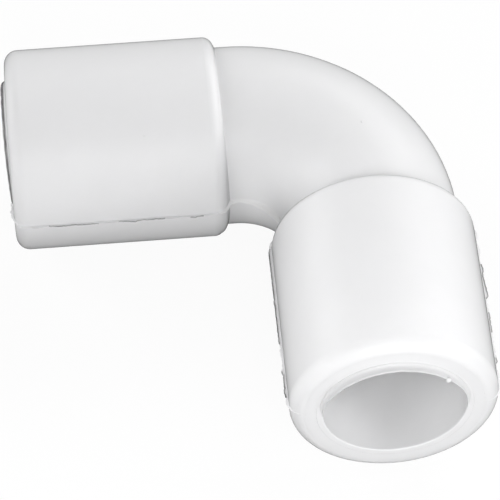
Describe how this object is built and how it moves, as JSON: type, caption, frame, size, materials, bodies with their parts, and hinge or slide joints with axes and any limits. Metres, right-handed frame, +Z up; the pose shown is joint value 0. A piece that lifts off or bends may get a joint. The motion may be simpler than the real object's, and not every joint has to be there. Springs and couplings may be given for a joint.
{
  "type": "push to connect elbow fitting",
  "caption": "White moulded right-angle push-fit elbow for plain round pipe, with a release sleeve, grab ring and O-ring seal in each socket.",
  "frame": {"origin": "on the surface that the elbow lies on, under the middle of its outline", "axes": "+Z up, square to the plane of the bend; the left socket opens towards -X and the front socket towards -Y"},
  "size_m": [0.0494, 0.0494, 0.022],
  "materials": {
    "body": "moulded polypropylene, satin, slightly translucent white",
    "cap": "moulded polypropylene, satin, the same white as the body",
    "sleeve": "moulded acetal, satin white",
    "ring": "moulded acetal, natural white",
    "steel": "stamped stainless spring steel",
    "seal": "moulded EPDM rubber, matt black"
  },
  "bodies": {
    "fitting": {"elbow_body": "body", "left_end_cap": "cap", "left_thrust_ring": "ring", "left_grab_ring": "steel", "left_spacer_ring": "ring", "left_o_ring": "seal", "front_end_cap": "cap", "front_thrust_ring": "ring", "front_grab_ring": "steel", "front_spacer_ring": "ring", "front_o_ring": "seal"},
    "left_sleeve": {"left_release_sleeve": "sleeve"},
    "front_sleeve": {"front_release_sleeve": "sleeve"}
  },
  "joints": [
    {"name": "left_sleeve_push", "type": "slide", "parent": "fitting", "child": "left_sleeve", "axis": [1, 0, 0], "range_m": [0, 0.0018], "stiffness_N_per_m": 150},
    {"name": "front_sleeve_push", "type": "slide", "parent": "fitting", "child": "front_sleeve", "axis": [0, 1, 0], "range_m": [0, 0.0018], "stiffness_N_per_m": 150}
  ]
}
